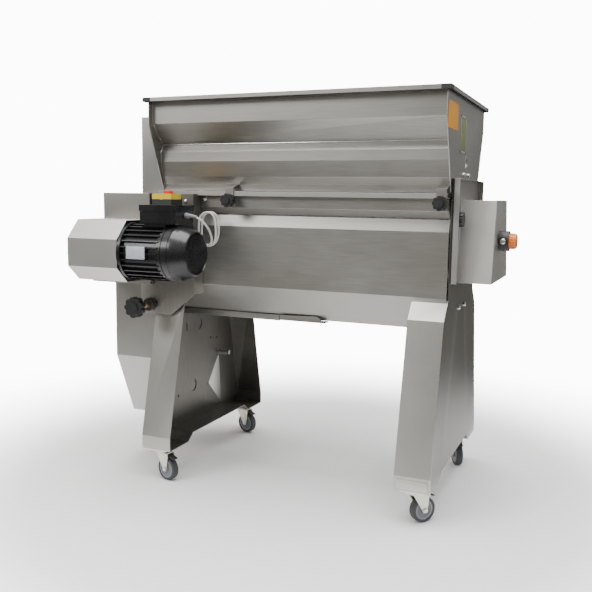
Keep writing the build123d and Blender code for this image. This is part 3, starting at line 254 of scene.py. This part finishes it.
def piece(name, mesh, body, look, smooth=True):
    """Turns a bmesh into a piece that rides on a body, with sharp edges kept sharp."""
    data = bpy.data.meshes.new(name)
    bmesh.ops.recalc_face_normals(mesh, faces=mesh.faces)
    mesh.to_mesh(data)
    mesh.free()
    data.materials.append(looks[look])
    if smooth:
        data.shade_smooth()
        data.set_sharp_from_angle(angle=SHARP_ANGLE)
    made = bpy.data.objects.new(name, data)
    bpy.context.scene.collection.objects.link(made)
    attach(made, body)
    return made


def lathe(mesh, origin, axis, profile, segments=32, closed=True):
    """Adds a turned shape: profile is (along the axis, radius) pairs, in millimetres."""
    lay = axis.to_track_quat("Z", "Y").to_matrix()
    rings = []
    for along, radius in profile:
        rings.append([mesh.verts.new(origin + lay @ Vector((
            radius / 1000 * math.cos(2 * math.pi * i / segments),
            radius / 1000 * math.sin(2 * math.pi * i / segments), along / 1000))) for i in range(segments)])
    for a, b in zip(rings, rings[1:]):
        for i in range(segments):
            mesh.faces.new((a[i], a[(i + 1) % segments], b[(i + 1) % segments], b[i]))
    if closed:
        mesh.faces.new(rings[0][::-1])
        mesh.faces.new(rings[-1])


def prism(mesh, outline, x_low, x_high):
    """Adds a flat plate of a (y, z) outline between two x places."""
    near = [mesh.verts.new(at(x_low, y, z)) for y, z in outline]
    far = [mesh.verts.new(at(x_high, y, z)) for y, z in outline]
    mesh.faces.new(near)
    mesh.faces.new(far[::-1])
    for i in range(len(outline)):
        mesh.faces.new((near[i], far[i], far[(i + 1) % len(outline)], near[(i + 1) % len(outline)]))


def slab(mesh, low, high, bevel=0.4):
    """Adds a bevelled box between two machine places."""
    a, b = at(*low), at(*high)
    made = bmesh.ops.create_cube(mesh, size=1.0)["verts"]
    for v in made:
        v.co = Vector([(a[i] + b[i]) / 2 + v.co[i] * (b[i] - a[i]) for i in range(3)])
    edges = list({e for v in made for e in v.link_edges})
    bmesh.ops.bevel(mesh, geom=edges, offset=bevel / 1000, segments=2, affect="EDGES", profile=0.6)


BEAD_STEP, BEAD_WAIST, BEAD_SIDES = 9, 0.82, 8


def bead(mesh, places, radius):
    """Adds a rippled weld bead through the machine places."""
    for a, b in zip(places, places[1:]):
        a, b = at(*a), at(*b)
        length = (b - a).length * 1000
        steps = max(2, int(length / BEAD_STEP))
        ripple = [(length * k / steps, radius * (1 if k % 2 else BEAD_WAIST)) for k in range(steps + 1)]
        lathe(mesh, a, (b - a).normalized(), ripple, BEAD_SIDES)


# ---------------------------------------------------------------- power lead
GLAND, INLET = (-292, -378, 915), (-337, -243, 822)
HANK_X, HANK_Y, HANK_Z, HANK_STRAIGHT, HANK_R = -285.0, -300, 870.0, 28.0, 27.0
HANK_TURNS, HANK_ADVANCE = 2, 2.6
LEAD_R = 0.0035
corner_rise = HANK_R * math.tan(math.radians(30))
corner_peak = HANK_R / math.cos(math.radians(30))
hank_turn = [
    (HANK_R, -HANK_STRAIGHT - corner_rise), (0, -HANK_STRAIGHT - corner_peak),
    (-HANK_R, -HANK_STRAIGHT - corner_rise), (-HANK_R - 3, 0), (-HANK_R, HANK_STRAIGHT + corner_rise),
    (0, HANK_STRAIGHT + corner_peak), (HANK_R, HANK_STRAIGHT + corner_rise), (HANK_R + 3, 0),
]
route = [GLAND, (-270, -376, 911), (-252, -360, 891), (-246, -334, 863)]
for corner in range(HANK_TURNS * len(hank_turn)):
    across, up = hank_turn[corner % len(hank_turn)]
    route.append((HANK_X + across, HANK_Y + HANK_ADVANCE * corner, HANK_Z + up))
route += [(-262, -256, 835), (-284, -251, 815), (-312, -246, 814), INLET]
lead_line = bpy.data.curves.new("power_lead", "CURVE")
lead_line.dimensions = "3D"
lead_line.bevel_depth, lead_line.bevel_resolution, lead_line.resolution_u = LEAD_R, 5, 16
lead_line.use_fill_caps = True
spline = lead_line.splines.new("NURBS")
spline.points.add(len(route) - 1)
for point, place in zip(spline.points, route):
    point.co = (*at(*place), 1)
spline.use_smooth = True
spline.order_u = 3
spline.use_endpoint_u = True
lead_line.materials.append(looks["cable"])
lead = bpy.data.objects.new("power_lead", lead_line)
bpy.context.scene.collection.objects.link(lead)
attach(lead, "machine")
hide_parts("power_cable")

# Ribbed strain relief where the lead leaves the terminal box, tapering onto the sheath.
mesh = bmesh.new()
RIBS, RIB_STEP, RIB_R, RIB_TAPER, RIB_DEPTH = 5, 4, 5.9, 0.38, 0.9
ribbed = [(0, 6.0)]
for rib in range(RIBS):
    start, radius = RIB_STEP * rib, RIB_R - RIB_TAPER * rib
    ribbed += [(1 + start, radius), (3 + start, radius), (3.4 + start, radius - RIB_DEPTH),
               (4.6 + start, radius - RIB_DEPTH)]
lathe(mesh, at(*GLAND), Vector((22, 2, -4)).normalized(), ribbed + [(21, 4.0)], 28)
piece("lead_strain_relief", mesh, "machine", "gland")

# ---------------------------------------------------------------- acorn nuts
def acorn(mesh, place, axis, radius):
    """A hexagon with a chamfered crown, a domed cap and a washer under it."""
    seat = at(*place)
    lathe(mesh, seat, axis, [(0, radius * 1.22), (1.2, radius * 1.22), (1.4, radius * 1.15)], 28)
    lathe(mesh, seat + axis * 0.0013, axis, [(0, radius * 0.96), (0.5, radius), (3.6, radius),
          (4.2, radius * 0.9)], 6)
    dome = [(4 + radius * 0.72 * math.sin(a), radius * 0.84 * math.cos(a))
            for a in (math.radians(15 * i) for i in range(6))]
    lathe(mesh, seat, axis, [(3.6, radius * 0.84)] + dome, 24)


NUTS = [((503, -38, 1056), OUTWARDS, 6.5), ((503, 38, 1056), OUTWARDS, 6.5),
        ((505, -45, 632), OUTWARDS, 7.5), ((505, 45, 632), OUTWARDS, 7.5),
        ((-470, -275, 960), FORWARDS, 5.5), ((-375, -275, 960), FORWARDS, 5.5),
        ((-330, -222, 968), FORWARDS, 6.0)]
mesh = bmesh.new()
for place, axis, radius in NUTS:
    acorn(mesh, place, axis, radius)
nuts = piece("acorn_nuts", mesh, "machine", "bright")
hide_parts("frame_bolts")

# ---------------------------------------------------------------- hopper crease and labels
CREASES = (-217.6, 214.6)     # front and rear
CREASE_HALF, CREASE_TICKS = 497, (-330, 0, 330)
mesh = bmesh.new()
for crease in CREASES:
    slab(mesh, (-CREASE_HALF, crease, 1149.4), (CREASE_HALF, crease + 3, 1153.2), 0.9)
    for x in CREASE_TICKS:
        slab(mesh, (x - 1.6, crease - 0.5, 1145), (x + 1.6, crease + 3.5, 1158), 0.6)
piece("hopper_crease_weld", mesh, "machine", "bright")

LABEL_BACK, LABEL_FACE, BORDER_BACK, BORDER_FACE = 502.9, 503.5, 503.0, 504.4
mesh = bmesh.new()
slab(mesh, (LABEL_BACK, -290, 1183), (LABEL_FACE, -150, 1261), 0.2)
piece("orange_plain_label", mesh, "machine", "orange_label")
mesh = bmesh.new()
slab(mesh, (LABEL_BACK, -103, 1125), (LABEL_FACE, -28, 1231), 0.2)
piece("olive_plain_label", mesh, "machine", "olive_label")
mesh = bmesh.new()
for low, high in (((-107, 1121), (-101, 1235)), ((-30, 1121), (-24, 1235)), ((-107, 1121), (-24, 1127)),
                  ((-107, 1229), (-24, 1235))):
    slab(mesh, (BORDER_BACK, *low), (BORDER_FACE, *high), 0.4)
piece("olive_label_border", mesh, "machine", "bright")

# ---------------------------------------------------------------- motor details
# The fan cover steps, then tapers to a guard of crossed bars.
MOTOR = (-400, 795)           # the motor's axis, as (y, z)
mesh = bmesh.new()
shell = [(0, 86), (0, 89), (4, 89), (5, 87), (8, 87), (9, 90), (28, 90), (29, 88.5), (32, 88.5),
         (34, 90), (40, 89.5), (66, 80), (82, 73), (86, 70), (87.5, 67), (84, 64.5), (80, 63.5)]
lathe(mesh, at(-345, *MOTOR), OUTWARDS, shell, 48, False)
fan_cover = piece("fan_cover_shell", mesh, "machine", "enamel")
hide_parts("motor_fan_cover")
mesh = bmesh.new()
lathe(mesh, at(-265, *MOTOR), OUTWARDS, [(0, 64.5), (1.5, 64.5)], 48)
piece("fan_cover_backing", mesh, "machine", "seal")
mesh = bmesh.new()
BARS, BAR_GAP, BAR_R, GUARD_R, GUARD_X = 7, 8.6, 1.5, 63.0, -260.5
for layer, lay in enumerate((math.radians(45), math.radians(135))):
    along = Vector((0, math.cos(lay), math.sin(lay)))
    across = Vector((0, -math.sin(lay), math.cos(lay)))
    for i in range(1 - BARS, BARS):
        reach = math.sqrt(GUARD_R ** 2 - (BAR_GAP * i) ** 2)
        start = at(GUARD_X + layer, *MOTOR) + across * (BAR_GAP * i) / 1000 - along * reach / 1000
        lathe(mesh, start, along, [(0, BAR_R), (2 * reach, BAR_R)], 8)
piece("fan_guard_bars", mesh, "machine", "enamel")
mesh = bmesh.new()
slab(mesh, (-461, -494, 778), (-392, -492.4, 818), 0.3)
piece("motor_blank_nameplate", mesh, "machine", "plate_label")
mesh = bmesh.new()
for x in (-457.5, -395.5):
    for z in (781.5, 814.5):
        lathe(mesh, at(x, -493.8, z), FORWARDS, [(0, 1.7), (0.6, 1.5), (0.9, 0.8)], 14)
piece("nameplate_rivets", mesh, "machine", "bright")

# The face of the belt cover that the motor stands against is black.
mesh = bmesh.new()
COVER_FACE = [(-297, 896), (-435.5, 896), (-489, 836.6), (-489, 745.4), (-435.5, 697), (-297, 697)]
prism(mesh, COVER_FACE, -500.0, -498.6)
piece("belt_cover_face", mesh, "machine", "enamel", False)

# ---------------------------------------------------------------- beads along the joints, and painted highlights along the leg bends
# Outlines are (y, z) places on the front; the rear is their mirror image.
SHEET = [(-278, 1296), (-278, 1217), (-215, 1152), (-228, 1126), (-229, 1094), (-218, 1044),
         (-208, 1018), (-208, 997)]
mesh = bmesh.new()
for face in (-1, 1):
    for x in (-500.5, 500.5):
        bead(mesh, [(x, -face * y, z) for y, z in SHEET], 1.7)
piece("hopper_corner_welds", mesh, "machine", "bright")

# Beads along the leg bends in warm bright steel: a rounded bend carrying a painted highlight.
LEG = [(-209, 664), (-254, 613), (-355, 156), (-355, 110)]
for name, x in (("left", -504.4), ("right", 504.4)):
    mesh = bmesh.new()
    for face in (-1, 1):
        bead(mesh, [(x, -face * (y + 0.6), z) for y, z in LEG], 1.1)
    piece(f"{name}_leg_bend_highlight", mesh, "machine", "warm_highlight")
HOOD_SIDES, HOOD_TOP = ((175, 104), (-145, -98)), 976     # y at the foot and at the top
# Bright beads along the hood's edges.
mesh = bmesh.new()
for x, foot, radius in ((621.4, 722, 1.2), (513.4, 724, 1.3)):
    for y, lean in HOOD_SIDES:
        bead(mesh, [(x, y, foot), (x, lean, HOOD_TOP)], radius)
bead(mesh, [(621.4, 104, HOOD_TOP), (621.4, -98, HOOD_TOP)], 1.0)
piece("hood_edge_beads", mesh, "end_cover", "bright")

# A shallow raised panel with a border on the right front foot.
mesh = bmesh.new()
slab(mesh, (401, -356.0, 115), (497, -354.6, 147), 0.8)
slab(mesh, (404.5, -356.8, 118.5), (493.5, -355.4, 143.5), 0.7)
piece("foot_raised_panel", mesh, "machine", "foot")

# ---------------------------------------------------------------- button, casters
BUTTON_Y, BUTTON_Z = -25, 850
RIB_COUNT, RIB_RING = 20, 24
mesh = bmesh.new()
lathe(mesh, at(638, -57.5, BUTTON_Z), FORWARDS, [(0, 9), (2, 9), (3.5, 8), (4.5, 5.5), (4.8, 3)], 24)
piece("housing_screw", mesh, "end_cover", "bright")
mesh = bmesh.new()
for i in range(RIB_COUNT):
    turn = 2 * math.pi * i / RIB_COUNT
    rib_y, rib_z = BUTTON_Y + RIB_RING * math.cos(turn), BUTTON_Z + RIB_RING * math.sin(turn)
    lathe(mesh, at(655, rib_y, rib_z), OUTWARDS, [(0, 0.9), (1, 1.3), (14, 1.3), (16, 0.6)], 10)
piece("button_ribs", mesh, "orange_button", "orange")

# Each caster's pin as (x, y), and the way that its fork points, in degrees.
CASTERS = {"fl": (-449, -315, -16), "fr": (449, -315, 49), "rl": (-449, 290, -16), "rr": (449, 290, -62)}
AXLE_Z, TRAIL, RACE_Z, NUT_OUT, RING_OUT = 40, 0.030, 0.0952, 0.0165, 0.0106
RACE = [(0, 24.3), (1.2, 25.4), (3.2, 25.4), (3.9, 24.2), (4.6, 25.6), (6.6, 25.6), (7.4, 24.0)]
AXLE_NUT = [(0, 8.2), (1.1, 8.2), (1.3, 7.2), (4.4, 7.2), (4.9, 6.2)]
HUB_RING = [(0, 28.5), (1.0, 28.3), (1.2, 26.6), (0.2, 26.2)]
for name, (x, y, turn) in CASTERS.items():
    turn = math.radians(turn)
    trail, cross = Vector((math.cos(turn), math.sin(turn), 0)), Vector((math.sin(turn), -math.cos(turn), 0))
    pin, axle = at(x, y, 0), at(x, y, AXLE_Z) + trail * TRAIL
    mesh = bmesh.new()
    lathe(mesh, pin + UPWARDS * RACE_Z, UPWARDS, RACE, 40)
    for way in (-1, 1):
        lathe(mesh, axle + cross * way * NUT_OUT, cross * way, AXLE_NUT, 6)
    piece(f"caster_race_{name}", mesh, f"caster_{name}", "zinc")
    mesh = bmesh.new()
    for way in (-1, 1):
        lathe(mesh, axle + cross * way * RING_OUT, cross * way, HUB_RING, 40)
    piece(f"hub_ring_{name}", mesh, f"wheel_{name}", "hub_light")

# ---------------------------------------------------------------- stage and light
SKY_SIDE, SKY_TOP, SKY_COOL = (0.26, 0.25, 0.225), (1.1, 1.09, 1.06), (0.80, 0.83, 0.95)
SKY_TOP_AT, COOL_FROM, COOL_TO = 0.75, 0.2, 1.0
BACKDROP = (12.0, 12.0, 12.0)
FADE_START, FADE_END = 0.9, 2.2

mesh = bmesh.new()
bmesh.ops.create_circle(mesh, cap_ends=True, segments=96, radius=60.0)
floor_data = bpy.data.meshes.new("floor")
mesh.to_mesh(floor_data)
mesh.free()
floor_data.materials.append(surface("pale_floor", (0.86, 0.86, 0.86), (0.90, 0.90, 0.90), 0.6, 30,
                                    rough=(0.7, 0.8), bump=0.01))
# The floor fades into the backdrop away from the machine.
tree = floor_data.materials[0].node_tree
spot = tree.nodes.new("ShaderNodeTexCoord")
reach = tree.nodes.new("ShaderNodeVectorMath")
reach.operation = "LENGTH"
tree.links.new(spot.outputs["Object"], reach.inputs[0])
fade = tree.nodes.new("ShaderNodeMapRange")
fade.inputs["From Min"].default_value, fade.inputs["From Max"].default_value = FADE_START, FADE_END
fade.interpolation_type = "SMOOTHSTEP"
tree.links.new(reach.outputs["Value"], fade.inputs["Value"])
clear = tree.nodes.new("ShaderNodeBsdfTransparent")
faded = tree.nodes.new("ShaderNodeMixShader")
tree.links.new(fade.outputs["Result"], faded.inputs["Fac"])
tree.links.new(tree.nodes["Principled BSDF"].outputs["BSDF"], faded.inputs[1])
tree.links.new(clear.outputs["BSDF"], faded.inputs[2])
tree.links.new(faded.outputs["Shader"], tree.nodes["Material Output"].inputs["Surface"])
floor = bpy.data.objects.new("floor", floor_data)
bpy.context.scene.collection.objects.link(floor)

# The studio is pale overhead and greyer round the sides, cooler on the right, and the
# camera sees a white backdrop behind the machine.
world = bpy.data.worlds.new("studio")
bpy.context.scene.world = world
world.use_nodes = True
tree = world.node_tree
backdrop = tree.nodes["Background"]
backdrop.inputs["Strength"].default_value = 1.0
heading = tree.nodes.new("ShaderNodeTexCoord")
split = tree.nodes.new("ShaderNodeSeparateXYZ")
tree.links.new(heading.outputs["Generated"], split.inputs["Vector"])
sky = tree.nodes.new("ShaderNodeValToRGB")
sky.color_ramp.elements[0].position, sky.color_ramp.elements[0].color = 0.0, (*SKY_SIDE, 1)
sky.color_ramp.elements[1].position = SKY_TOP_AT
sky.color_ramp.elements[1].color = (*SKY_TOP, 1)
tree.links.new(split.outputs["Z"], sky.inputs["Fac"])
cool = tree.nodes.new("ShaderNodeMapRange")
cool.inputs["From Min"].default_value, cool.inputs["From Max"].default_value = COOL_FROM, COOL_TO
tree.links.new(split.outputs["X"], cool.inputs["Value"])
cooled = tree.nodes.new("ShaderNodeMix")
cooled.data_type, cooled.blend_type = "RGBA", "MULTIPLY"
cooled.inputs["B"].default_value = (*SKY_COOL, 1)
tree.links.new(cool.outputs["Result"], cooled.inputs["Factor"])
tree.links.new(sky.outputs["Color"], cooled.inputs["A"])
seen = tree.nodes.new("ShaderNodeLightPath")
shown = tree.nodes.new("ShaderNodeMix")
shown.data_type = "RGBA"
shown.inputs["B"].default_value = (*BACKDROP, 1)
tree.links.new(seen.outputs["Is Camera Ray"], shown.inputs["Factor"])
tree.links.new(cooled.outputs["Result"], shown.inputs["A"])
tree.links.new(shown.outputs["Result"], backdrop.inputs["Color"])


def softbox(name, place, target, size, power):
    """A rectangular light at a model place, turned towards its target."""
    light = bpy.data.lights.new(name, "AREA")
    light.shape, light.size, light.size_y, light.energy = "RECTANGLE", size[0], size[1], power
    made = bpy.data.objects.new(name, light)
    bpy.context.scene.collection.objects.link(made)
    made.location = place
    made.rotation_euler = (Vector(target) - Vector(place)).to_track_quat("-Z", "Y").to_euler()


softbox("key", (-2.2, -3.4, 3.0), (0, 0, 0.7), (1.6, 1.4), 70)
softbox("top", (0, -0.3, 4.4), (0, 0, 0.8), (4.0, 4.0), 380)
